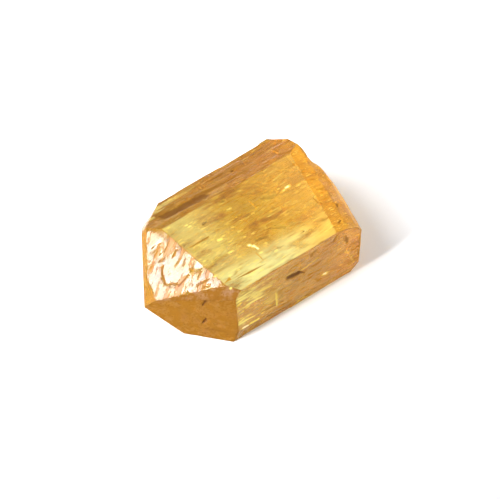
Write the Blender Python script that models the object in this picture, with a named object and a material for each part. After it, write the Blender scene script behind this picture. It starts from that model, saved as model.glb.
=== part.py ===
"""A rough topaz crystal that lies on one of its own faces.

Blender 4.5, metres, +Z up. +X runs along the crystal's long axis, from the pointed
end to the end that broke off square. The crystal is cut out of a block, one flat
face at a time, at the angles that topaz has. Then its faces are sawn into strips,
and the strips are let in a little to make growth lines, ledges, etch pits and chips.
"""

import math
import random

import bmesh
import bpy
from mathutils import Vector, noise

MM = 0.001

# Driving dimensions
BODY_LENGTH = 12.85 * MM  # from the shoulder, where the point begins, to the broken end
POINT_LENGTH = 3.9 * MM
THICKNESS = 4.96 * MM
UPPER_WIDTH = 8.14 * MM  # the wide upper face, across the crystal
BEVEL_WIDTH = 2.95 * MM  # the narrower face behind it, seen from above
FRONT_HEIGHT = 3.9 * MM  # the front face, above the one that turns under
FRONT_OVERHANG = 0.2 * MM  # how far the front face leans out at its foot
BACK_OVERHANG = 0.39 * MM  # how far the back stands out behind the bevel, half way down
BLOCK_SIZE = 60 * MM  # the block that the crystal is cut from

# Angles between the prism faces of topaz, in degrees
L_TO_M = 18.7
M_TO_M = 55.7

# A face lies flat if it looks this much up or down, and is square if it looks this much along
LYING, SQUARE = 0.5, 0.9

# Relief, as depths below the flat face
STRIA_DEPTH = 0.07 * MM
LEDGE_DEPTH = 0.10 * MM
REST_DEPTH = 0.04 * MM
PIT_DEPTH = 0.07 * MM
HACKLE_DEPTH = 0.09 * MM
NOTCH_DEPTH = 0.26 * MM
SHALLOW_LEDGES = 0.35  # the ledges of the upper and front faces, as a part of the others' depth

# Sizes of that relief: across and along the growth lines, then of the pits, hackle and notch
LINE_WIDTH, LINE_LENGTH = 0.62 * MM, 7 * MM
PIT_SIZE = 0.55 * MM
HACKLE_SIZE = 1.1 * MM
NOTCH_PLACE, NOTCH_WIDTH = 7.15 * MM, 0.55 * MM

# How strongly the noise is drawn apart, and how much of it is cut off where a face stays flat
LINE_CONTRAST = 1.6
REST_CONTRAST, REST_CUT = 2.5, 1.3
PIT_CONTRAST, PIT_CUT = 2.2, 0.75
NOISE_SHIFT = 10.3  # keeps the growth lines of one face apart from the next one's
HACKLE_SHIFT = Vector((5, 0, 0))

# Widths of the sawn strips, and the crystal's own random numbers
FINEST_STRIP, WIDEST_STRIP = 0.16 * MM, 0.32 * MM
LEDGE_ENDS = [x * MM for x in (0.75, 2.1, 3.6, 5.05, 6.46, 7.58, 8.98, 10.1, 11.2)]
LEDGE_STEP = 0.10 * MM  # how far along the crystal a ledge takes to end
LEDGE_BAND = 0.85 * MM  # how wide a ledge is
LEVEL_REST = 1.6 * MM  # half the width of the strip that the crystal surely rests on
POINT_SLICES = 9
RIM_CUTS = (0.45 * MM, 0.2 * MM)  # cuts just short of the broken end
SHORTEST_EDGE = 0.03 * MM
THINNEST_FACE = 0.005 * MM
SEED = 7


class Face:
    """One flat face of the crystal: the plane it lies in, and how its surface is worked."""

    def __init__(self, name, normal, point, finish):
        self.name = name
        self.normal = Vector(normal).normalized()
        self.point = Vector(point)
        self.finish = finish


def prism_face(name, turn, y, z):
    """A face along the crystal. turn is its tilt from straight up towards the back, in degrees."""
    angle = math.radians(turn)
    return Face(name, (0, math.sin(angle), math.cos(angle)), (0, y, z), "striated")


def prism_faces():
    """Seven faces go round the long axis, at the angles that topaz has between them."""
    bevel_drop = BEVEL_WIDTH * math.tan(math.radians(L_TO_M))
    back_edge = UPPER_WIDTH + BEVEL_WIDTH
    return [
        prism_face("upper", 0, 0, THICKNESS),
        prism_face("back_bevel", L_TO_M, UPPER_WIDTH, THICKNESS),
        prism_face("back", L_TO_M + M_TO_M, back_edge, THICKNESS - bevel_drop),
        prism_face("back_foot", 2 * L_TO_M + M_TO_M, back_edge + BACK_OVERHANG, THICKNESS / 2),
        Face("underside", (0, 0, -1), (0, 0, 0), "rest"),
        prism_face("front_foot", 180 + L_TO_M + M_TO_M, -FRONT_OVERHANG, THICKNESS - FRONT_HEIGHT),
        prism_face("front", 180 + 2 * L_TO_M + M_TO_M, 0, THICKNESS),
    ]


def point_faces():
    """Four faces meet in the point. Smaller ones blunt its back corner, two of its edges and its tip."""
    return [
        Face("point_upper", (-0.525, 0, 0.852), (0, 0, THICKNESS), "etched"),
        Face("point_front", (-0.794, -0.607, 0), (0, 0, 0), "etched"),
        Face("point_back", (-0.787, 0.605, -0.03), (-1.98 * MM, 7.86 * MM, 3.74 * MM), "etched"),
        Face("point_under", (-0.754, 0, -0.656), (-2.25 * MM, 0, 0), "etched"),
        Face("point_corner", (-0.46, 0.79, 0.40), (0.5 * MM, 9.95 * MM, 4.36 * MM), "etched"),
        Face("point_ridge", (-0.741, -0.394, 0.544), (-0.43 * MM, 1.42 * MM, 4.70 * MM), "etched"),
        Face("point_rim", (-0.758, 0.313, 0.572), (-2.83 * MM, 6.28 * MM, 3.21 * MM), "etched"),
        Face("point_cap", (-0.79, 0.16, 0.592), (-2.83 * MM, 6.28 * MM, 3.21 * MM), "etched"),
        Face("tip", (-0.97, -0.10, 0.10), (-POINT_LENGTH, 5.3 * MM, 2.5 * MM), "etched"),
    ]


def end_faces():
    """The square break, and the flat steps that round its upper and front edges off."""
    faces = [
        Face("break", (1, 0, 0), (BODY_LENGTH, 0, 0), "broken"),
        Face("break_middle", (0.978, -0.211, 0), (12.68 * MM, 3.7 * MM, 0), "broken"),
        Face("break_front", (0.942, -0.337, 0), (12.15 * MM, 1.8 * MM, 0), "broken"),
        Face("break_corner", (0.72, -0.69, -0.05), (11.30 * MM, -0.1 * MM, 2.5 * MM), "broken"),
        Face("foot_corner", (0.72, -0.30, -0.62), (11.00 * MM, 0, 0.5 * MM), "broken"),
        Face("back_corner", (0.62, 0.60, 0.50), (12.45 * MM, 10.55 * MM, 4.02 * MM), "broken"),
    ]
    # Each step starts further along, lies deeper and is steeper than the last.
    toward_front = math.radians(-16.6)
    steps = [(13, 10.55, 0.0), (31, 11.6, 0.22), (56, 12.38, 0.62)]
    for number, (tilt, x, drop) in enumerate(steps, 1):
        slope = math.radians(tilt)
        flat = math.sin(slope)
        normal = (flat * math.cos(toward_front), flat * math.sin(toward_front), math.cos(slope))
        point = (x * MM, 4.4 * MM, THICKNESS - drop * MM)
        faces.append(Face(f"break_step_{number}", normal, point, "broken"))
    return faces


def cleave(bm, layer, face, number):
    """Takes away what lies outside a face's plane, and closes the cut."""
    everything = bm.verts[:] + bm.edges[:] + bm.faces[:]
    cut = bmesh.ops.bisect_plane(
        bm, geom=everything, plane_co=face.point, plane_no=face.normal, clear_outer=True
    )
    rim = [item for item in cut["geom_cut"] if isinstance(item, bmesh.types.BMEdge)]
    for made in bmesh.ops.edgeloop_fill(bm, edges=rim)["faces"]:
        made[layer] = number


def uneven_steps(low, high, rng):
    """Places for the saw between low and high, at irregular distances."""
    places = []
    place = low + rng.uniform(FINEST_STRIP, WIDEST_STRIP)
    while place < high - FINEST_STRIP:
        places.append(place)
        place += rng.uniform(FINEST_STRIP, WIDEST_STRIP)
    return places


def saw(bm, layer, faces, wanted, axis, places):
    """Cuts the wanted faces, and nothing else, by planes square to an axis."""
    direction = Vector((axis == "x", axis == "y", axis == "z"))
    for place in places:
        chosen = [f for f in bm.faces if wanted(faces[f[layer]])]
        edges = {edge for f in chosen for edge in f.edges}
        verts = {vert for f in chosen for vert in f.verts}
        bmesh.ops.bisect_plane(
            bm, geom=chosen + list(edges) + list(verts), plane_co=direction * place, plane_no=direction
        )


def saw_all(bm, layer, faces):
    """Strips along the crystal on the sides, and a grid on the point and the break."""
    rng = random.Random(SEED)
    across = uneven_steps(-FRONT_OVERHANG, UPPER_WIDTH + BEVEL_WIDTH + BACK_OVERHANG, rng)
    up = uneven_steps(0, THICKNESS, rng)
    ledges = [x + side * LEDGE_STEP / 2 for x in LEDGE_ENDS for side in (-1, 1)]
    on_point = [-POINT_LENGTH * part / POINT_SLICES for part in range(1, POINT_SLICES)]
    on_rim = [BODY_LENGTH - cut for cut in RIM_CUTS]

    def lies_flat(face):
        return abs(face.normal.z) > LYING

    def stands(face):
        return abs(face.normal.z) <= LYING and abs(face.normal.x) < SQUARE

    def is_square_end(face):
        return face.normal.x >= SQUARE

    def is_point(face):
        return face.finish == "etched"

    saw(bm, layer, faces, lies_flat, "y", across)
    saw(bm, layer, faces, stands, "z", up)
    saw(bm, layer, faces, is_square_end, "y", across[::2])
    saw(bm, layer, faces, is_square_end, "z", up[::2])
    saw(bm, layer, faces, is_point, "x", on_point)
    saw(bm, layer, faces, lambda face: face.finish in ("striated", "broken"), "x", ledges + on_rim)


def wave(across, along, face_number):
    """Smooth noise from 0 to 1 that changes quickly across the strips and slowly along them."""
    spot = Vector((across / LINE_WIDTH, along / LINE_LENGTH, NOISE_SHIFT * face_number + 0.5))
    return 0.5 + 0.5 * max(-1, min(1, LINE_CONTRAST * noise.noise(spot)))


def ledge_level(number, across, along):
    """The depth, from 0 to 1, of the growth ledge that a place lies on. Each ends at a place of its own."""
    band = round(across / LEDGE_BAND)
    stage = sum(along > end for end in LEDGE_ENDS[band % 3 :: 3])
    return random.Random(SEED + 31 * number + 97 * band + stage).random()


def relief(face, number, spot):
    """How deep the surface of a face lies below its plane at a place on it."""
    across = spot.y if abs(face.normal.z) > LYING else spot.z
    if face.finish == "striated":
        ledges = SHALLOW_LEDGES if face.name in ("upper", "front") else 1
        return (
            STRIA_DEPTH * wave(across, spot.x, number)
            + ledges * LEDGE_DEPTH * ledge_level(number, across, spot.x)
        )
    if face.finish == "rest":
        from_middle = abs(spot.y - (UPPER_WIDTH + BEVEL_WIDTH) / 2)
        lifted = max(0, REST_CONTRAST * wave(across, spot.x, number) - REST_CUT)
        return REST_DEPTH * lifted * (from_middle > LEVEL_REST)
    if face.finish == "etched":
        return PIT_DEPTH * max(0, PIT_CONTRAST * noise.noise(spot / PIT_SIZE) - PIT_CUT)
    if face.finish == "broken":
        drawn_out = Vector((spot.x / 2, spot.y, spot.z)) / HACKLE_SIZE
        depth = HACKLE_DEPTH * max(0, noise.noise(drawn_out + HACKLE_SHIFT))
        if face.normal.x > LYING:
            reach = (spot.y - NOTCH_PLACE) / NOTCH_WIDTH
            depth += NOTCH_DEPTH * math.exp(-reach * reach) * (spot.z > THICKNESS / 2)
        return depth
    return 0


def let_in(bm, layer, faces):
    """Moves each vertex in by the relief of every face that it lies on."""
    moves = {}
    for vert in bm.verts:
        numbers = {f[layer] for f in vert.link_faces}
        normals = [faces[n].normal for n in numbers]
        total = Vector()
        for n in numbers:
            total -= faces[n].normal * relief(faces[n], n, vert.co)
        shared = max(sum(max(0, a.dot(b)) for b in normals) for a in normals)
        moves[vert] = total / shared
    for vert, move in moves.items():
        vert.co += move


def stand_on_origin(bm):
    """Puts the middle of the underside's outline at the origin."""
    low = Vector(min(v.co[axis] for v in bm.verts) for axis in range(3))
    high = Vector(max(v.co[axis] for v in bm.verts) for axis in range(3))
    middle = (low + high) / 2
    bmesh.ops.translate(bm, verts=bm.verts, vec=(-middle.x, -middle.y, -low.z))


def topaz_material():
    """Clear golden topaz, tinted through its depth, with a natural face's slight dullness."""
    material = bpy.data.materials.new("topaz")
    material.use_nodes = True
    shader = material.node_tree.nodes["Principled BSDF"]
    shader.inputs["Base Color"].default_value = (0.80, 0.42, 0.10, 1)
    shader.inputs["Roughness"].default_value = 0.12
    shader.inputs["Metallic"].default_value = 0
    shader.inputs["IOR"].default_value = 1.62
    shader.inputs["Transmission Weight"].default_value = 0.6
    return material


def build_crystal():
    """The crystal as one closed solid."""
    faces = prism_faces() + point_faces() + end_faces()
    bm = bmesh.new()
    layer = bm.faces.layers.int.new("crystal_face")
    bmesh.ops.create_cube(bm, size=BLOCK_SIZE)
    for number, face in enumerate(faces):
        cleave(bm, layer, face, number)
    saw_all(bm, layer, faces)
    let_in(bm, layer, faces)
    stand_on_origin(bm)
    bmesh.ops.remove_doubles(bm, verts=bm.verts, dist=SHORTEST_EDGE)
    bmesh.ops.dissolve_degenerate(bm, edges=bm.edges, dist=THINNEST_FACE)
    bmesh.ops.triangulate(bm, faces=bm.faces)
    bmesh.ops.recalc_face_normals(bm, faces=bm.faces)
    mesh = bpy.data.meshes.new("crystal")
    bm.to_mesh(mesh)
    bm.free()
    crystal = bpy.data.objects.new("crystal", mesh)
    bpy.context.scene.collection.objects.link(crystal)
    crystal.data.materials.append(topaz_material())
    return crystal


def main():
    for obj in list(bpy.data.objects):
        bpy.data.objects.remove(obj)
    build_crystal()


main()
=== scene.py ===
# %% [markdown]
# # A golden topaz crystal
#
# This lesson dresses one rough topaz crystal. The packed model gives its true shape and size, as a
# solid of a few thousand flat triangles. What is added here is what the eye looks for next: growth
# lines finer than the solid can hold, brown stains in the pits, a dull cleaved end, and a body that
# light goes through, growing more orange the further it travels.
#
# First the packed model is loaded. It is the fixed frame: all sizes below are read from it, and the
# new piece has to stay inside its box.

import math
from collections import namedtuple

import bmesh
import bpy
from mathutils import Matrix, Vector, noise
from mathutils.bvhtree import BVHTree
from mathutils.kdtree import KDTree


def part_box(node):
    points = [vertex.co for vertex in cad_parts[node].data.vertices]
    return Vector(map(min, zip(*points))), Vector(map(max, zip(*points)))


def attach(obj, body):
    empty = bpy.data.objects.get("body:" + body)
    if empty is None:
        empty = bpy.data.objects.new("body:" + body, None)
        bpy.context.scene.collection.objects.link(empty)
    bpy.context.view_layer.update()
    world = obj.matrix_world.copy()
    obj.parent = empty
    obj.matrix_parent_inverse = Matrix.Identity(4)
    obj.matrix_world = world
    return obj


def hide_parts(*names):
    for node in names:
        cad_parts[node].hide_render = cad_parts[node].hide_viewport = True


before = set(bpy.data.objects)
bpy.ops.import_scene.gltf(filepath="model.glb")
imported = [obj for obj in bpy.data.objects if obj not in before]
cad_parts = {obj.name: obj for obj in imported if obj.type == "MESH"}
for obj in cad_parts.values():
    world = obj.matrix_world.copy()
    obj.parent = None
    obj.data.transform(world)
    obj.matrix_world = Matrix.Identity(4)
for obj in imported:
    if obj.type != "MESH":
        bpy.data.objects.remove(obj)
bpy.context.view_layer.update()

MM = 0.001
low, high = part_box("crystal")
size = high - low
print("crystal box in mm:", [round(side / MM, 2) for side in size])

# %% [markdown]
# ## Where the camera stands
#
# The crystal was photographed with a long lens, so the edges along it look parallel. A corner that is
# easy to find ties the picture and the model together: the front shoulder, where the wide upper face,
# the front face and the point meet. It is at a known place on the crystal and at a known pixel. The
# rest is the angle of view, and how many pixels a millimetre takes.

# %% Camera
IMAGE_WIDTH, IMAGE_HEIGHT = 500, 499
SHOULDER_PIXEL = (235.3, 293.2)
PIXELS_PER_MM = 14.4
AZIMUTH = math.radians(-39.5)
ELEVATION = math.radians(46)
LENS_MM = 600
SENSOR_MM = 36
NEAR_CLIP = 0.01
FAR_CLIP = 10
SHOULDER_FROM_BREAK = 12.85 * MM
SHOULDER_FROM_SIDE = 0.18 * MM

towards_camera = Vector((
    math.sin(AZIMUTH) * math.cos(ELEVATION),
    -math.cos(AZIMUTH) * math.cos(ELEVATION),
    math.sin(ELEVATION),
))
image_right = Vector((math.cos(AZIMUTH), math.sin(AZIMUTH), 0))
image_up = towards_camera.cross(image_right)
away = Vector((-image_right.y, image_right.x, 0))


def off_middle(pixel):
    """How far a pixel is from the middle of the image, as a move at the crystal's distance."""
    right = (pixel[0] - IMAGE_WIDTH / 2) / PIXELS_PER_MM * MM
    up = (IMAGE_HEIGHT / 2 - pixel[1]) / PIXELS_PER_MM * MM
    return image_right * right + image_up * up


shoulder = Vector((high.x - SHOULDER_FROM_BREAK, low.y + SHOULDER_FROM_SIDE, high.z))
looked_at = shoulder - off_middle(SHOULDER_PIXEL)
distance = IMAGE_WIDTH * LENS_MM / (SENSOR_MM * PIXELS_PER_MM) * MM

camera_data = bpy.data.cameras.new("camera")
camera_data.lens = LENS_MM
camera_data.sensor_width = SENSOR_MM
camera_data.clip_start = NEAR_CLIP
camera_data.clip_end = FAR_CLIP
camera = bpy.data.objects.new("camera", camera_data)
bpy.context.scene.collection.objects.link(camera)
camera.location = looked_at + towards_camera * distance
camera.rotation_mode = "QUATERNION"
camera.rotation_quaternion = (-towards_camera).to_track_quat("-Z", "Y")
bpy.context.scene.camera = camera
print("camera distance in mm:", round(distance / MM))

# %% [markdown]
# ## The faces, and how each one looks
#
# A topaz crystal has few faces, and each has its own surface. The wide upper face is clear and
# bright. The bevel and the pointed end are stained brown by iron. The cleaved end is dull, because it
# broke instead of growing. So the faces are listed once, each with the way it faces, how dull it is
# and how brown. A triangle belongs to the face whose direction is nearest to its own. The list could
# be done without by painting each triangle by hand, but then a change of the solid would undo it.

# %% The faces of the crystal
FACES = {
    "upper": ((0, 0, 1), 0.05, 0.15),
    "back_bevel": ((0, 0.321, 0.947), 0.45, 0.72),
    "back": ((0, 0.963, 0.269), 0.30, 0.6),
    "back_foot": ((0, 0.998, -0.056), 0.30, 0.6),
    "underside": ((0, 0, -1), 0.08, 0.25),
    "front_foot": ((0, -0.963, -0.269), 0.35, 0.6),
    "front": ((0, -0.999, 0.035), 0.36, 0.50),
    "point_upper": ((-0.525, 0, 0.852), 0.05, 0.2),
    "point_front": ((-0.794, -0.607, 0), 0.92, 0.88),
    "point_back": ((-0.787, 0.605, -0.03), 0.3, 0.5),
    "point_under": ((-0.754, 0, -0.656), 0.2, 0.5),
    "point_corner": ((-0.46, 0.79, 0.40), 0.3, 0.5),
    "point_ridge": ((-0.741, -0.394, 0.544), 0.92, 0.92),
    "point_rim": ((-0.758, 0.313, 0.572), 0.4, 0.6),
    "break": ((1, 0, 0), 0.6, 0.0),
    "break_middle": ((0.978, -0.211, 0), 0.6, 0.05),
    "break_front": ((0.942, -0.337, 0), 0.7, 0.15),
    "break_corner": ((0.72, -0.69, -0.05), 0.8, 0.3),
    "foot_corner": ((0.72, -0.30, -0.62), 0.8, 0.4),
    "back_corner": ((0.62, 0.60, 0.50), 0.3, 0.5),
    "break_step_1": ((0.216, -0.064, 0.974), 0.42, 0.05),
    "break_step_2": ((0.494, -0.147, 0.857), 0.48, 0.05),
    "break_step_3": ((0.794, -0.237, 0.559), 0.55, 0.05),
}
FACE_NAMES = list(FACES)
face_ways = [Vector(FACES[name][0]).normalized() for name in FACE_NAMES]
print("kinds of face:", len(FACE_NAMES))


def face_number(normal):
    """The number of the listed face that looks most nearly the given way."""
    return max(range(len(face_ways)), key=lambda number: face_ways[number].dot(normal))


# %% [markdown]
# ## From the solid to a fine mesh
#
# The solid's triangles are long strips, too coarse for pits and hair-fine growth lines. A remesh would
# make them small, but it would also round the edges, and sharp edges are what makes a crystal look
# like one. So they are cut into short pieces by planes across the crystal, and each piece is divided.
# That keeps the flat faces flat.

# %% Copy the solid
bm = bmesh.new()
bm.from_mesh(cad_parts["crystal"].data)
bmesh.ops.remove_doubles(bm, verts=bm.verts, dist=1e-7)
solid_tree = BVHTree.FromBMesh(bm)
bm.normal_update()
kind = bm.faces.layers.int.new("kind")
for face in bm.faces:
    face[kind] = face_number(face.normal)
print("triangles in the solid:", len(bm.faces))

# %% Slice it and divide it
SLICE = 0.85 * MM
END_SLICE = 0.6 * MM
SMALLEST_CUT = 0.02 * MM
EDGE_PARTS = 3
END_LEAN = 0.3
ALONG, ACROSS = 0, 1


def slice_across(axis, step, only_ends):
    """Cuts the mesh by planes across one axis, on the faces of the two ends or on all of them."""
    way = Vector([number == axis for number in range(3)])
    for number in range(1, int(size[axis] / step) + 1):
        faces = [face for face in bm.faces if not only_ends or abs(face.normal.x) > END_LEAN]
        edges = list({edge for face in faces for edge in face.edges})
        corners = list({vert for face in faces for vert in face.verts})
        bmesh.ops.bisect_plane(
            bm,
            geom=corners + edges + faces,
            plane_co=low + way * (number - 0.5) * step,
            plane_no=way,
            dist=SMALLEST_CUT,
        )


slice_across(ALONG, SLICE, only_ends=False)
slice_across(ACROSS, END_SLICE, only_ends=True)
bmesh.ops.triangulate(bm, faces=bm.faces)
bmesh.ops.subdivide_edges(bm, edges=bm.edges, cuts=EDGE_PARTS - 1, use_grid_fill=True)
bmesh.ops.triangulate(bm, faces=bm.faces)
print("triangles after dividing:", len(bm.faces))

# %% [markdown]
# ## Marks in their places
#
# Natural marks make one crystal different from all others: iron stains, pits and cracks. Glints are listed
# as marks too, as painted highlights: bright spots painted into the colour where the crystal sparkles. Each
# is a short stroke between two spots. A spot is given as the pixel where the camera sees it, and a ray from
# the camera finds it on the solid. After the pixels come the half width and the depth in mm, and how strong
# the stain is.

# %% Stains, pits and cracks
STAINS = {
    "bevel, broad brown band": ((163, 217), (203, 197), 0.45, 0.02, 0.88),
    "bevel, second band": ((196, 196), (222, 184), 0.16, 0.02, 0.6),
    "bevel, corner shade": ((158, 215), (172, 206), 0.25, 0.01, 0.5),
    "bevel, brown line": ((186, 205), (236, 176), 0.10, 0.02, 0.5),
    "bevel, dark speck": ((231.8, 170.6), (232.4, 170.2), 0.11, 0.08, 1.0),
    "bevel, blot": ((221, 202.4), (223, 201), 0.15, 0.03, 0.8),
    "bevel, thin brown line": ((205, 183), (222, 174), 0.08, 0.02, 0.6),
    "bevel, line at the edge": ((240, 160), (262, 148), 0.10, 0.02, 0.6),
    "bevel, line at the far end": ((258, 143), (272, 138), 0.09, 0.02, 0.7),
    "upper, pit at the left": ((203.4, 224.4), (206, 221.6), 0.08, 0.07, 0.9),
    "upper, orange blot": ((207, 236.5), (214, 233), 0.18, 0.01, 0.55),
    "upper, brown blot": ((263, 198.5), (271.5, 196.5), 0.22, 0.02, 0.7),
    "upper, brown dash": ((255.5, 240.6), (268, 235.5), 0.12, 0.03, 0.85),
    "upper, long brown dash": ((272.3, 228.4), (284, 227), 0.17, 0.03, 0.75),
    "upper, its thin tail": ((284, 227), (301, 221.3), 0.07, 0.02, 0.7),
    "upper, faint long dash": ((259, 218.5), (279.5, 208.5), 0.16, 0.02, 0.5),
    "upper, second faint dash": ((284, 206), (300, 200), 0.12, 0.01, 0.4),
    "upper, brown line in the middle": ((238, 222), (256, 212), 0.09, 0.01, 0.5),
    "upper, low brown line": ((246, 262), (262, 253), 0.08, 0.01, 0.45),
    "upper, pit at the right": ((302.6, 232.4), (304, 230.8), 0.06, 0.07, 0.9),
    "upper, faint far dash": ((316, 205), (322, 202), 0.08, 0.02, 0.5),
    "upper, left dash": ((176, 233), (184, 226), 0.08, 0.02, 0.6),
    "upper, middle dash": ((214, 246), (226, 240), 0.08, 0.02, 0.6),
    "upper, slanting dash": ((221, 254), (232, 243), 0.07, 0.03, 0.6),
    "upper, faint blot": ((210, 260), (217, 253), 0.11, 0.02, 0.4),
    "far end, pit": ((336.4, 203), (338, 206.5), 0.10, 0.05, 0.8),
    "far end, small pit": ((339, 222.5), (341, 220), 0.07, 0.05, 0.8),
    "far end, brown dash": ((334, 241), (337, 236), 0.11, 0.03, 0.6),
    "far end, second dash": ((345, 236), (347.5, 243), 0.11, 0.03, 0.7),
    "front, red-brown clump": ((289, 277.5), (299, 272.8), 0.19, 0.03, 1.0),
    "front, its thin end": ((298, 272), (304, 273), 0.09, 0.04, 0.9),
    "front, brown blot": ((311, 256), (317, 249), 0.14, 0.02, 0.6),
    "front, brown line": ((262, 312), (284, 301), 0.09, 0.02, 0.55),
    "front, brown foot line": ((268, 316), (300, 300), 0.08, 0.02, 0.55),
    "brown end, upper dash": ((202.8, 305.4), (205.4, 301.4), 0.08, 0.08, 1.0),
    "brown end, lower dash": ((203.2, 322.6), (206.0, 319.2), 0.08, 0.08, 1.0),
    "white end, groove 1": ((176.4, 249.4), (173, 256.6), 0.055, 0.05, 0.7),
    "white end, groove 2": ((179.8, 258.8), (176.2, 265.6), 0.06, 0.05, 0.7),
    "white end, groove 3": ((185.4, 258.6), (182.6, 265.6), 0.055, 0.05, 0.6),
    "white end, groove 4": ((200.6, 272.2), (198, 279), 0.055, 0.05, 0.6),
    "white end, pit": ((190.4, 268.6), (191.8, 270), 0.075, 0.06, 0.7),
    "white end, long groove": ((188, 275.4), (178.8, 286), 0.07, 0.05, 0.8),
    "white end, right groove": ((207.8, 280), (198.6, 284.6), 0.08, 0.05, 0.8),
    "white end, corner groove": ((209.6, 285), (204.2, 286.6), 0.075, 0.05, 0.7),
    "white end, crack, upper arm": ((162.3, 266.7), (162.3, 275.4), 0.055, 0.06, 0.9),
    "white end, crack, bend": ((162.3, 275.4), (165.3, 284), 0.055, 0.06, 0.9),
    "white end, crack, lower arm": ((165.3, 284), (178.3, 284), 0.055, 0.06, 0.9),
    "white end, left groove": ((154, 262), (151, 270), 0.055, 0.05, 0.6),
    "white end, top groove": ((169, 243), (164.5, 252), 0.055, 0.05, 0.6),
    "white end, top left groove": ((160, 246), (155, 257), 0.055, 0.05, 0.6),
    # Painted shade: the grey patch darkens a part of the white end that is turned out of the light.
    "white end, grey patch": ((158, 297), (174, 292), 0.36, 0.0, 0.16),
    "white end, pink corner": ((152, 242), (162, 230), 0.30, 0.0, 0.20),
}
print("stains:", len(STAINS))

# %% [markdown]
# The painted glints are listed in the same way, without a depth, because they are painted highlights and
# not pits. How bright a glint is painted follows from its half width in mm: only the broad ones turn nearly
# white.

# %% Painted glints
PAINTED_GLINTS = {
    "middle, large": ((248.5, 245.0), (254, 246.2), 0.14),
    "middle, second": ((255.5, 247.0), (258, 248.4), 0.10),
    "middle, above": ((252.2, 233.8), (253.8, 233.0), 0.07),
    "middle, left of it": ((243.8, 237.2), (245.6, 236.6), 0.07),
    "middle, yellow": ((229.0, 252.6), (231.8, 251.4), 0.08),
    "left, yellow": ((218.4, 240.4), (221.8, 238.8), 0.09),
    "left, small": ((229.2, 241.8), (230.8, 241.2), 0.06),
    "upper middle, left": ((232.0, 227.6), (233.6, 226.6), 0.06),
    "upper middle, right": ((238.4, 232.0), (240.0, 231.2), 0.06),
    "left corner, first": ((185.6, 225.6), (187.2, 224.8), 0.06),
    "left corner, second": ((189.0, 226.8), (190.8, 226.0), 0.07),
    "low left, first": ((229.6, 276.0), (231.0, 275.2), 0.07),
    "low left, second": ((214.6, 276.6), (216.0, 275.8), 0.07),
    "low left, third": ((203.8, 261.2), (205.2, 260.6), 0.07),
    "low left, fourth": ((230.0, 288.6), (231.4, 288.0), 0.06),
    "low middle": ((237.6, 270.2), (238.8, 269.4), 0.06),
    "right of middle": ((264.8, 243.4), (266.6, 242.6), 0.07),
    "below middle": ((259.8, 253.0), (261.6, 252.2), 0.07),
    "far, yellow": ((286.0, 187.8), (289.4, 185.4), 0.12),
    "far, second": ((283.2, 190.6), (284.8, 189.4), 0.07),
    "right": ((275.2, 250.4), (277.0, 249.6), 0.06),
    "front, foot 1": ((243.0, 328.0), (248.5, 325.0), 0.10),
    "front, foot 2": ((250.5, 323.4), (259, 318.6), 0.09),
    "front, foot 3": ((239.5, 322.2), (244, 318.8), 0.09),
    "front, left 1": ((237.8, 305.4), (240.8, 303.6), 0.09),
    "front, left 2": ((240.0, 313.8), (243.8, 311.4), 0.08),
    "front, left 3": ((246.0, 308.4), (250.0, 305.6), 0.07),
    "front, upright": ((276.0, 293.0), (277.2, 305.0), 0.08),
    "front, top line": ((261.0, 291.0), (272.0, 285.4), 0.05),
    "front, foot line": ((293.0, 306.0), (304.0, 297.0), 0.06),
    "front, right": ((323.0, 274.4), (327.6, 272.6), 0.12),
    "front, right line": ((302.0, 270.0), (318.0, 258.0), 0.05),
    "far end, light line": ((341.5, 243), (354, 262), 0.05),
}
print("flecks:", len(PAINTED_GLINTS))

# %% [markdown]
# ## From pixels to places on the crystal
#
# A ray from the camera through the middle of a mark finds the face that the mark is on. The two ends
# could be found by rays of their own, but near an edge such a ray may miss the crystal or meet the
# next face. So they are slid over the face of the middle instead.

# %% Find the marks on the crystal
# How wide a painted glint must be, in mm, before it is painted nearly white.
WHITE_GLINT = 0.10
Mark = namedtuple("Mark", "start end facing reach depth strength layer")


def seen_at(pixel):
    """The spot on the crystal that the camera sees at a pixel, and the way the face there looks."""
    way = (looked_at + off_middle(pixel) - camera.location).normalized()
    spot, normal, _, _ = solid_tree.ray_cast(camera.location, way)
    return spot, normal


def ends_of(start_pixel, end_pixel):
    """The two ends of a mark, laid in the face that its middle is on, and the way that face looks."""
    middle_pixel = [(a + b) / 2 for a, b in zip(start_pixel, end_pixel)]
    middle, facing = seen_at(middle_pixel)
    facing = face_ways[face_number(facing)]
    ends = []
    for pixel in (start_pixel, end_pixel):
        aside = off_middle(pixel) - off_middle(middle_pixel)
        slide = aside.dot(facing) / towards_camera.dot(facing)
        ends.append(middle + aside - towards_camera * slide)
    return ends[0], ends[1], facing


marks = []
for start_pixel, end_pixel, half_width, depth, strength in STAINS.values():
    ends = ends_of(start_pixel, end_pixel)
    marks.append(Mark(*ends, half_width * MM, depth * MM, strength, "stain"))
for start_pixel, end_pixel, half_width in PAINTED_GLINTS.values():
    ends = ends_of(start_pixel, end_pixel)
    marks.append(Mark(*ends, half_width * MM, 0.0, min(1.0, half_width / WHITE_GLINT), "fleck"))
print("marks placed:", len(marks))

# %% [markdown]
# ## Small triangles where a mark is thin
#
# A mark is drawn by the points of the mesh that lie in it, so a thin one needs points close together.
# The whole mesh could be made that fine, but it would be many times as heavy. So only the edges near
# a thin mark are divided again.

# %% Divide the mesh again around the fine marks
FINE_MARK = 0.12 * MM
ROOM_ROUND_MARK = 0.07 * MM
FINE_CUTS = 2
fine_marks = [mark for mark in marks if mark.reach < FINE_MARK]


def gap_to(place, mark):
    """How far a place is from the stroke between the two ends of a mark."""
    along = mark.end - mark.start
    part = max(0, min(1, (place - mark.start).dot(along) / max(along.length_squared, 1e-12)))
    return (place - mark.start - along * part).length


def beside_fine_mark(place):
    """Whether a place is on a thin mark or just beside one."""
    return any(gap_to(place, mark) < mark.reach + ROOM_ROUND_MARK for mark in fine_marks)


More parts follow.
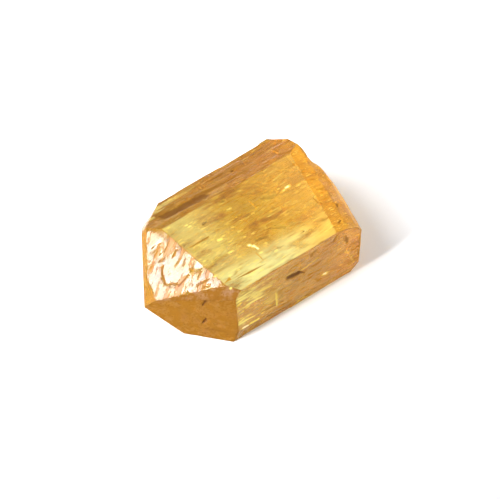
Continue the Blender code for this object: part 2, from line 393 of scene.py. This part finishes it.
close_by = [edge for edge in bm.edges if beside_fine_mark(edge.verts[0].co)]
bmesh.ops.subdivide_edges(bm, edges=close_by, cuts=FINE_CUTS, use_grid_fill=True)
bmesh.ops.triangulate(bm, faces=bm.faces)
print("triangles with fine marks:", len(bm.faces))

# %% [markdown]
# ## How strongly a mark shows at each point
#
# Each point of the mesh gets a weight for the stains and one for the painted glints: 1 inside a mark, 0 far
# from it, and smooth in between. A real stain has a ragged rim, so a little noise is added to the distance
# before it is turned into a weight. A search tree finds the points near a mark quickly.

# %% Weigh each mark at each point of the mesh
MARK_RAGGEDNESS = 0.35
RAGGED_SIZE = 0.25 * MM
MARK_CORE = 0.7
MARK_RIM = 1.2
MARK_SEARCH = 1.4
SAME_FACE = 0.8


def smoothstep(start, end, value):
    """0 up to start, 1 from end on, and smooth in between."""
    part = max(0, min(1, (value - start) / (end - start)))
    return part * part * (3 - 2 * part)


bm.normal_update()
bm.verts.index_update()
bm.verts.ensure_lookup_table()
near = KDTree(len(bm.verts))
for vert in bm.verts:
    near.insert(vert.co, vert.index)
near.balance()
weights = {"stain": [0.0] * len(bm.verts), "fleck": [0.0] * len(bm.verts)}
pressed = [0.0] * len(bm.verts)
for mark in marks:
    middle = (mark.start + mark.end) / 2
    search = (mark.end - mark.start).length / 2 + MARK_SEARCH * mark.reach
    for spot, index, _ in near.find_range(middle, search):
        if bm.verts[index].normal.dot(mark.facing) < SAME_FACE:
            continue
        ragged = gap_to(spot, mark) / mark.reach + MARK_RAGGEDNESS * noise.noise(spot / RAGGED_SIZE)
        weight = smoothstep(MARK_RIM, MARK_CORE, ragged)
        weights[mark.layer][index] = max(weights[mark.layer][index], weight * mark.strength)
        pressed[index] = max(pressed[index], weight * mark.depth)
print("deepest mark in mm:", round(max(pressed) / MM, 3))

# %% [markdown]
# ## Worn edges
#
# The edges of a loose crystal are chipped and rubbed, so they look duller and browner than the faces
# beside them. Where the mesh bends by more than a few degrees there is an edge, and each point of the
# mesh is weighed by how near it is to one.

# %% Worn edges
EDGE_REACH = 0.16 * MM
EDGE_BEND = math.radians(18)

edge_verts = [
    vert for vert in bm.verts
    if any(edge.is_manifold and edge.calc_face_angle() > EDGE_BEND for edge in vert.link_edges)
]
edge_tree = KDTree(len(edge_verts))
for number, vert in enumerate(edge_verts):
    edge_tree.insert(vert.co, number)
edge_tree.balance()
weights["edge"] = [smoothstep(EDGE_REACH, 0, edge_tree.find(vert.co)[2]) for vert in bm.verts]
print("points on edges:", len(edge_verts))

# %% [markdown]
# ## Growth lines and hackle
#
# Three kinds of surface meet on this crystal, and the way each one faces tells them apart. The faces
# along the crystal have growth lines that run its whole length. The faces of the point are smooth. The
# cleaved end is torn, which is called hackle. Noise drawn out along the crystal gives the lines, and
# noise of several sizes gives the hackle. Both only press inwards, so the crystal never grows out of
# its solid.

# %% Press the relief in
LINE_DEPTH = 0.012 * MM
POINT_DEPTH = 0.005 * MM
HACKLE_DEPTH = 0.035 * MM
LINE_LENGTH = 5.0 * MM
LINE_WIDTH = 0.17 * MM
BROAD_LENGTH = 7.0 * MM
BROAD_WIDTH = 0.45 * MM
BROAD_SHIFT = 9.0
LINE_SHARE = 0.35
HACKLE_SIZE = 0.9 * MM
HACKLE_LAYERS = 3
HACKLE_FADE = 1.0
HACKLE_STEP = 2.0
POINT_PIT_SIZE = 0.3 * MM
BREAK_LEAN = (0.3, 0.6)
POINT_LEAN = (-0.25, -0.4)


def growth_lines(place):
    """Depth from 0 to 1 of the fine lines along the crystal, each of which fades in and out."""
    fine = noise.noise(Vector((place.x / LINE_LENGTH, place.y / LINE_WIDTH, place.z / LINE_WIDTH)))
    shifted = place.x / BROAD_LENGTH + BROAD_SHIFT
    broad = noise.noise(Vector((shifted, place.y / BROAD_WIDTH, place.z / BROAD_WIDTH)))
    return 0.5 + LINE_SHARE * (fine + broad)


def relief_depth(vert):
    """How deep the surface is pressed in at a point of the mesh."""
    on_break = smoothstep(*BREAK_LEAN, vert.normal.x)
    on_point = smoothstep(*POINT_LEAN, vert.normal.x)
    torn = noise.fractal(vert.co / HACKLE_SIZE, HACKLE_FADE, HACKLE_STEP, HACKLE_LAYERS)
    hackle = 0.5 + 0.5 * torn
    pits = 0.5 + 0.5 * noise.noise(vert.co / POINT_PIT_SIZE)
    depth = LINE_DEPTH * growth_lines(vert.co) * (1 - on_break) * (1 - on_point)
    return depth + HACKLE_DEPTH * hackle * on_break + POINT_DEPTH * pits * on_point


moves = [-vert.normal * (relief_depth(vert) + pressed[vert.index]) for vert in bm.verts]
for vert, move in zip(bm.verts, moves):
    vert.co += move
    vert.co.z = max(vert.co.z, low.z)
print("deepest relief in mm:", round(max(move.length for move in moves) / MM, 3))

# %% [markdown]
# ## Hand the marks to the material
#
# The material needs to know where it is: on which face, on a stain, on an edge. Each such weight is
# kept in the mesh as a named attribute. What belongs to a face is kept at its corners, so that it
# changes sharply at the edge. What belongs to a mark is kept at the points, so that it fades.

# %% Make the crystal
SHARP_BEND = math.radians(24)

mesh = bpy.data.meshes.new("topaz_crystal")
bm.to_mesh(mesh)
bm.free()
kinds = [0] * len(mesh.polygons)
mesh.attributes["kind"].data.foreach_get("value", kinds)
by_face = {
    "dull": [FACES[name][1] for name in FACE_NAMES],
    "rust": [FACES[name][2] for name in FACE_NAMES],
    "etched": [float(name == "point_upper") for name in FACE_NAMES],
    "upper": [float(name == "upper") for name in FACE_NAMES],
    "front": [float(name == "front") for name in FACE_NAMES],
}
for name, values in by_face.items():
    at_corners = [
        values[number]
        for polygon, number in zip(mesh.polygons, kinds)
        for _ in polygon.loop_indices
    ]
    mesh.attributes.new(name, "FLOAT", "CORNER").data.foreach_set("value", at_corners)
for name, values in weights.items():
    mesh.attributes.new(name, "FLOAT", "POINT").data.foreach_set("value", values)
mesh.shade_smooth()
mesh.set_sharp_from_angle(angle=SHARP_BEND)
crystal = bpy.data.objects.new("topaz_crystal", mesh)
bpy.context.scene.collection.objects.link(crystal)
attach(crystal, "root")
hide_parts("crystal")
print("triangles in the crystal:", len(mesh.polygons))

# %% [markdown]
# ## Writing materials as sums
#
# A material is a net of nodes. Written out node by node it is long, so a small class stands for one
# output socket, and Python's own operators add the nodes. A number goes through a Math node, a
# vector through Vector Math, and a colour through Mix.

# %% The socket class
class Wire:
    """The output of a node. Sums with it add nodes to its material."""

    def __init__(self, finish, socket):
        self.finish = finish
        self.socket = socket

    def combine(self, operation, left, right):
        """Adds the node that this kind of socket needs for an operation."""
        if self.socket.type == "VECTOR":
            pair = [(side,) * 3 if isinstance(side, (int, float)) else side for side in (left, right)]
            return self.finish.node("ShaderNodeVectorMath", {"operation": operation}, dict(enumerate(pair)))
        if self.socket.type == "RGBA":
            settings = {"data_type": "RGBA", "blend_type": operation}
            return self.finish.node("ShaderNodeMix", settings, {0: 1.0, 6: left, 7: right}, output=2)
        return self.finish.node("ShaderNodeMath", {"operation": operation}, {0: left, 1: right})

    def __add__(self, other):
        return self.combine("ADD", self, other)

    def __radd__(self, other):
        return self.combine("ADD", other, self)

    def __sub__(self, other):
        return self.combine("SUBTRACT", self, other)

    def __rsub__(self, other):
        return self.combine("SUBTRACT", other, self)

    def __mul__(self, other):
        return self.combine("MULTIPLY", self, other)

    def __rmul__(self, other):
        return self.combine("MULTIPLY", other, self)


print("socket class:", Wire.__doc__)

# %% [markdown]
# The material itself is a class too. Its one method adds any kind of node: first the settings, such as
# an operation or the stops of a ramp, and then a number, a colour or a link for each socket.

# %% The material class
class Finish:
    """A material that is being made."""

    def __init__(self, name):
        self.material = bpy.data.materials.new(name)
        self.material.use_nodes = True
        self.tree = self.material.node_tree
        self.tree.nodes.clear()

    def node(self, kind, settings=None, inputs=None, output=0):
        """Adds a node: its settings first, then a value or a link for each named input."""
        made = self.tree.nodes.new(kind)
        for name, value in (settings or {}).items():
            if name == "stops":
                ramp = made.color_ramp.elements
                while len(ramp) < len(value):
                    ramp.new(0.5)
                for stop, (position, colour) in zip(ramp, value):
                    stop.position = position
                    stop.color = (*colour, 1)
            else:
                setattr(made, name, value)
        for name, value in (inputs or {}).items():
            socket = made.inputs[name]
            if isinstance(value, Wire):
                self.tree.links.new(value.socket, socket)
            elif socket.type == "RGBA" and len(value) == 3:
                socket.default_value = (*value, 1)
            else:
                socket.default_value = value
        return Wire(self, made.outputs[output]) if made.outputs else None


print("material class:", Finish.__doc__)

# %% [markdown]
# ## Noise for streaks and clouds
#
# All the marks that were too fine to place one by one come from noise. Noise stretched along the
# crystal makes streaks, and even noise makes clouds. Its coordinates are those of the piece, in
# millimetres, so a streak keeps its size and its place when the camera moves.

# %% Streaks and clouds
OBJECT_PLACE = 3
STREAK_ROUGHNESS = 0.6

topaz = Finish("topaz")
place = topaz.node("ShaderNodeTexCoord", output=OBJECT_PLACE) * (1 / MM)


def count_nodes(step):
    """Prints how many nodes the topaz has after a step."""
    print("nodes after the", step + ":", len(topaz.tree.nodes))


def noise_at(vector, shift, scale, detail, roughness):
    """Noise from 0 to 1 at a place, where the shift gives each use a pattern of its own."""
    settings = {"noise_dimensions": "4D"}
    inputs = {"Vector": vector, "W": shift, "Scale": scale, "Detail": detail, "Roughness": roughness}
    return topaz.node("ShaderNodeTexNoise", settings, inputs)


def streaks(per_mm, detail, stretch, shift):
    """Noise drawn out along the crystal, with so many streaks to a millimetre across it."""
    return noise_at(place * (stretch, 1, 1), shift, per_mm, detail, STREAK_ROUGHNESS)


def band(value, start, end):
    """0 up to start, 1 from end on, and smooth in between."""
    settings = {"interpolation_type": "SMOOTHSTEP", "clamp": True}
    return topaz.node("ShaderNodeMapRange", settings, {0: value, 1: start, 2: end, 3: 0.0, 4: 1.0})


def blend(mask, under, over):
    """The colour under, and where the mask is 1 the colour over."""
    settings = {"data_type": "RGBA", "blend_type": "MIX"}
    return topaz.node("ShaderNodeMix", settings, {0: mask, 6: under, 7: over}, output=2)


fine = streaks(per_mm=8.0, detail=4.0, stretch=0.14, shift=0.0)
broad = streaks(per_mm=2.2, detail=3.0, stretch=0.14, shift=3.0)
clump = streaks(per_mm=1.0, detail=3.0, stretch=0.35, shift=15.0)
long_lines = streaks(per_mm=3.5, detail=2.0, stretch=0.035, shift=7.0)
cloud = noise_at(place, shift=5.0, scale=0.35, detail=2.0, roughness=0.55)
count_nodes("streaks and clouds")

# %% [markdown]
# ## Parts of the crystal with a look of their own
#
# The left part of the wide face is greenish and pale, and the right part orange. A strip along the front
# edge is painted brightest: a painted pool of the light that the crystal gathers there. Near the point the
# front face gets painted shine, bright yellow streaks that stand in for its glints. Such a part is a mask:
# 1 inside, 0 outside. Each is worked out from the place along or across the crystal in mm, with the cloud
# added, so that its border wanders as it does in the stone.

# %% Regions of the crystal
FACTOR = 2


def kept(name):
    """A weight that the mesh keeps under a name."""
    return topaz.node("ShaderNodeAttribute", {"attribute_name": name}, output=FACTOR)


dull, rust, etched, upper, front = [kept(name) for name in by_face]
stain, fleck, edge = [kept(name) for name in weights]
lengthwise = topaz.node("ShaderNodeSeparateXYZ", None, {0: place}, output=ALONG)
crosswise = topaz.node("ShaderNodeSeparateXYZ", None, {0: place}, output=ACROSS)
left = band(lengthwise + 2.0 * cloud, 2.0, -2.0)
right = band(lengthwise + 2.0 * cloud, 1.5, 7.0)
# Painted light: the strip along the front edge of the wide face is painted paler and brighter, as a pool of
# the light that the crystal gathers there.
lit_front_strip = band(crosswise + 1.2 * cloud, -2.0, -3.8) * upper
# Painted shine: where the front face shines near the point, bright yellow colour stands in for its glints.
painted_front_shine = band(lengthwise + 1.5 * cloud, 1.0, -2.5) * front
plain = 1.0 - etched
count_nodes("regions")

# %% [markdown]
# ## The clear topaz
#
# Real topaz takes its colour from depth: a thin edge is nearly clear, and a long way through is deep
# orange. An absorbing volume does just that. The surface is plain glass of topaz's refractive index.
# Its tint varies in streaks, pale where the crystal is clean and brown where fine cracks hold iron,
# because those streaks are what gives this crystal its silky look.

# %% Tint of the clear surface
TINT_CONTRAST = 3.0
TINT_SHIFT = 0.96

paleness = TINT_CONTRAST * (0.40 * clump + 0.35 * broad + 0.25 * fine) - TINT_SHIFT
# The paler tint of the front strip is painted light.
paleness = paleness + 0.13 * lit_front_strip + 0.10 * right * upper - 0.04 * rust
tint = topaz.node("ShaderNodeValToRGB", {"stops": [
    (0.32, (0.48, 0.25, 0.05)),
    (0.43, (0.88, 0.62, 0.16)),
    (0.51, (1.0, 0.90, 0.30)),
    (0.59, (1.0, 1.0, 0.50)),
    (0.72, (1.0, 1.0, 0.88)),
]}, {0: paleness})
tint = blend(left * 0.9, tint, tint * (0.92, 1.0, 0.96))
tint = blend(right * 0.9, tint, tint * (1.0, 0.88, 0.56))
tint = blend(rust * (1.0 - painted_front_shine) * plain, tint, tint * (0.90, 0.66, 0.38))
tint = blend(band(long_lines, 0.52, 0.60) * 0.4, tint, tint * (0.72, 0.60, 0.45))
count_nodes("tint")

# %% [markdown]
# ## Grooves of the etched face
#
# The white face of the point was etched while the crystal lay in the rock, in grooves that run
# slantwise over it. They are noise again, drawn out along the grooves and bent a little by the cloud.
# The same bump also gives the other faces the finest of their growth lines.

# %% Grooves of the etched face
GROOVE_TURN = math.radians(24.7)
GROOVE_WAY = (math.cos(GROOVE_TURN), math.sin(GROOVE_TURN), 0)
ACROSS_GROOVES = (-math.sin(GROOVE_TURN), math.cos(GROOVE_TURN), 0)
GROOVES_PER_MM = 3.2
GROOVE_STRETCH = 0.22
GROOVE_BEND = 0.4
GROOVE_HEIGHT = 0.3
BUMP_HEIGHT = 0.04 * MM


def along_way(way):
    """How far a place is in one direction, in mm."""
    return topaz.node("ShaderNodeVectorMath", {"operation": "DOT_PRODUCT"}, {0: place, 1: way}, 1)


groove_place = topaz.node("ShaderNodeCombineXYZ", None, {
    0: along_way(GROOVE_WAY) * GROOVE_STRETCH,
    1: along_way(ACROSS_GROOVES),
    2: cloud * GROOVE_BEND,
})
groove_noise = noise_at(groove_place, shift=0.0, scale=GROOVES_PER_MM, detail=3.0, roughness=0.6)
groove = band(groove_noise, 0.53, 0.63) * etched
height = fine * plain - GROOVE_HEIGHT * groove
bump = topaz.node("ShaderNodeBump", None, {"Strength": 0.9, "Distance": BUMP_HEIGHT, "Height": height})
count_nodes("grooves")

# %% Clear surface
TOPAZ_IOR = 1.62
POLISH = 0.03
DULLNESS = 0.35

clear = topaz.node("ShaderNodeBsdfPrincipled", None, {
    "Base Color": tint,
    "Roughness": POLISH + DULLNESS * dull,
    "IOR": TOPAZ_IOR,
    "Transmission Weight": 1.0,
    "Normal": bump,
})
count_nodes("clear surface")

# %% [markdown]
# ## The veil over it
#
# Stains, dull faces and chipped edges all hide the clear topaz below, and so do the painted glints, the
# painted shine of the front face and the painted light of the front strip. They are one thin layer, the
# veil. Its colour says what hides the topaz, and its cover says how much of it is hidden. The colours are
# laid over each other like coats of paint, the last one on top.

# %% Colour of the veil
GOLDEN = (1.0, 0.50, 0.05)
YELLOW = (1.0, 0.66, 0.08)
DARK_BROWN = (0.09, 0.032, 0.005)
PALE_AND_LIT_YELLOW = (0.90, 1.0, 0.42)
ORANGE_YELLOW = (1.0, 0.70, 0.14)
BRIGHT_YELLOW = (0.90, 0.74, 0.16)
FRONT_SHINE_YELLOW = (1.0, 0.92, 0.26)
LINE_BROWN = (0.12, 0.05, 0.008)
GROOVE_PINK = (0.50, 0.24, 0.12)
STAIN_BROWN = (0.085, 0.030, 0.005)
GLINT_YELLOW = (1.0, 0.85, 0.18)
GLINT_WHITE = (1.0, 0.95, 0.62)

dark_line = band(fine, 0.45, 0.37) * plain
# Bright yellow lines: paler streaks of colour, and in part painted glints along the growth lines.
yellow_and_glint_line = band(fine, 0.57, 0.66) * plain * (1.0 - (0.4 * dull + 0.8 * rust) * (1.0 - painted_front_shine))
veil_colour = blend(upper, GOLDEN, YELLOW)
veil_colour = blend(rust, veil_colour, DARK_BROWN)
# Painted shine: golden colour where the front face shines near the point.
veil_colour = blend(0.6 * painted_front_shine, veil_colour, GOLDEN)
# The greenish, pale left part is colour, and the front strip in it is painted light.
pale_and_lit_zone = lit_front_strip + 0.6 * left * upper * (1.0 - lit_front_strip)
veil_colour = blend(pale_and_lit_zone * (1.0 - right), veil_colour, PALE_AND_LIT_YELLOW)
veil_colour = blend(right * upper, veil_colour, ORANGE_YELLOW)
brown_patch = band(broad, 0.45, 0.58) * 1.3 * rust * (1.0 - dull) * (1.0 - painted_front_shine)
veil_colour = blend(brown_patch, veil_colour, DARK_BROWN)
veil_colour = blend(yellow_and_glint_line, veil_colour, BRIGHT_YELLOW)
# Painted shine: bright yellow streaks on the front face near the point.
veil_colour = blend(band(broad, 0.48, 0.58) * painted_front_shine, veil_colour, FRONT_SHINE_YELLOW)
veil_colour = blend(dark_line * 0.8, veil_colour, LINE_BROWN)
veil_colour = blend(groove, veil_colour, GROOVE_PINK)
veil_colour = blend(0.5 * edge, veil_colour, LINE_BROWN)
veil_colour = blend(stain, veil_colour, STAIN_BROWN)
# Painted glints: yellow where the crystal sparkles, and white where they are broad.
veil_colour = blend(fleck, veil_colour, GLINT_YELLOW)
veil_colour = blend(band(fleck, 0.92, 1.0), veil_colour, GLINT_WHITE)
count_nodes("colour of the veil")

# %% [markdown]
# Part of the veil scatters light back and part lets it glow through, as a thin skin on a clear stone
# does. Rust and stains are denser than the rest, so less light glows through them.

# %% The veil itself
GLOW_GOLD = (0.95, 0.58, 0.10)
GLOW_MOST = 0.45

skin = topaz.node("ShaderNodeBsdfPrincipled", None, {
    "Base Color": veil_colour,
    "Roughness": 0.6,
    "IOR": 1.4,
    "Specular IOR Level": 0.03,
    "Normal": bump,
})
glow = topaz.node("ShaderNodeBsdfTranslucent", None, {"Color": GLOW_GOLD, "Normal": bump})
glow_share = GLOW_MOST * (1.0 - 0.75 * rust) * (1.0 - stain)
veil = topaz.node("ShaderNodeMixShader", None, {0: glow_share, 1: skin, 2: glow})
count_nodes("veil")

# %% [markdown]
# The cover is built up in the same order. Each kind of veil takes its share of what the ones before
# it left clear, so the sum can't grow past 1. Only a stain pulls the cover to a value of its own.

# %% How much the veil covers
# Cover of the brown lines, and of the bright lines that are in part painted glints.
lines = (dark_line * 0.70 + yellow_and_glint_line * 0.60) * band(cloud, 0.25, 0.42)
cover = dull * (0.80 + 0.4 * band(broad, 0.35, 0.65)) + lines
# Cover of the pale left part, and of the painted light of the front strip.
cover = cover + pale_and_lit_zone * band(clump, 0.30, 0.52) * 0.58 * (1.0 - cover)
cover = cover + 0.20 * right * upper * (1.0 - cover)
# Cover of the painted shine on the front face.
cover = cover + 0.8 * band(broad, 0.50, 0.60) * painted_front_shine * (1.0 - cover)
cover = cover + 0.30 * edge * (1.0 - cover)
cover = cover + 0.70 * groove * (1.0 - cover)
cover = cover + stain * (0.92 - cover)
# The painted glints cover nearly all of the clear topaz below them.
cover = cover + 0.9 * fleck * (1.0 - cover)
surface = topaz.node("ShaderNodeMixShader", None, {0: cover, 1: clear, 2: veil})
count_nodes("cover")

# %% [markdown]
# ## The body of the topaz
#
# Topaz lets red light through, holds back more of the green and most of the blue. So the losses per
# metre are given for each colour, and Blender wants them as a colour and a density.

# %% Body of the topaz
LOSS_PER_METRE = (2, 13, 120)
DENSITY = 200

body_colour = [1 - loss / DENSITY for loss in LOSS_PER_METRE]
body = topaz.node("ShaderNodeVolumeAbsorption", None, {"Color": body_colour, "Density": DENSITY})
topaz.node("ShaderNodeOutputMaterial", None, {"Surface": surface, "Volume": body})
crystal.data.materials.clear()
crystal.data.materials.append(topaz.material)
count_nodes("body")

# %% [markdown]
# ## The pale floor
#
# The crystal lies on a plain pale floor. It matters more than a floor usually does, because most of
# the light in the crystal has come up through it from the floor.

# %% Floor
FLOOR_HALF = 0.6
FLOOR_GAP = 0.01 * MM
FLOOR_COLOUR = (0.86, 0.86, 0.87)

floor_mesh = bpy.data.meshes.new("floor")
floor_corners = [Vector((x, y, 0)) * FLOOR_HALF for x, y in ((-1, -1), (1, -1), (1, 1), (-1, 1))]
floor_mesh.from_pydata(floor_corners, [], [(0, 1, 2, 3)])
floor = bpy.data.objects.new("floor", floor_mesh)
floor.location.z = low.z - FLOOR_GAP
bpy.context.scene.collection.objects.link(floor)
pale = Finish("pale_floor")
floor_settings = {"Base Color": FLOOR_COLOUR, "Roughness": 0.9, "Specular IOR Level": 0.2}
floor_surface = pale.node("ShaderNodeBsdfPrincipled", None, floor_settings)
pale.node("ShaderNodeOutputMaterial", None, {"Surface": floor_surface})
floor_mesh.materials.append(pale.material)
print("width of the floor in m:", 2 * FLOOR_HALF)

# %% [markdown]
# ## Light
#
# One soft light stands where the etched face of the point mirrors it into the camera, which is why
# that face shines white. A second one, low at the left, throws the soft shadow to the right. A third
# one, weaker and wider, stands at the right, so that the cleaved end isn't lost in that shadow. All
# three aim at one point beyond the crystal, so that the floor around it is lit evenly.

# %% Lights
LIGHT_DISTANCE = 0.16
AIM_POINT = 0.014 * image_right + 0.043 * away


def soft_light(name, way, side, power, spread):
    """A square light that stands the given way from the crystal. Its side is in m, its power in W."""
    data = bpy.data.lights.new(name, "AREA")
    data.shape = "SQUARE"
    data.size = side
    data.energy = power
    data.spread = math.radians(spread)
    light = bpy.data.objects.new(name, data)
    light.location = way.normalized() * LIGHT_DISTANCE
    light.rotation_mode = "QUATERNION"
    light.rotation_quaternion = (AIM_POINT - light.location).to_track_quat("-Z", "Y")
    bpy.context.scene.collection.objects.link(light)


etched_way = face_ways[FACE_NAMES.index("point_upper")]
mirror_way = etched_way * 2 * etched_way.dot(towards_camera) - towards_camera
low_left_way = -0.71 * image_right - 0.42 * away + Vector((0, 0, 0.48))
far_right_way = 0.75 * image_right + 0.25 * away + Vector((0, 0, 0.45))
soft_light("window", mirror_way, side=0.07, power=0.033, spread=50)
soft_light("key", low_left_way, side=0.08, power=0.072, spread=34)
soft_light("fill", far_right_way, side=0.10, power=0.022, spread=60)
print("window stands at an elevation of", round(math.degrees(math.asin(mirror_way.z))), "degrees")

# %% [markdown]
# The white surrounding fills the rest. Light that is caught in the crystal is thrown back and forth
# many times before it comes out, so the number of bounces is higher than usual. With too few, the
# crystal would turn black inside.

# %% Surrounding light and bounces
SURROUNDING = 0.50
CLEAR_BOUNCES = 24

world = bpy.data.worlds.new("studio")
world.use_nodes = True
background = world.node_tree.nodes["Background"]
background.inputs["Color"].default_value = (1, 1, 1, 1)
background.inputs["Strength"].default_value = SURROUNDING
bpy.context.scene.world = world
bpy.context.scene.view_settings.view_transform = "Standard"
cycles = bpy.context.scene.cycles
cycles.max_bounces = CLEAR_BOUNCES
cycles.transmission_bounces = CLEAR_BOUNCES
cycles.glossy_bounces = 20
cycles.diffuse_bounces = 4
print("surrounding light:", SURROUNDING)

# %% [markdown]
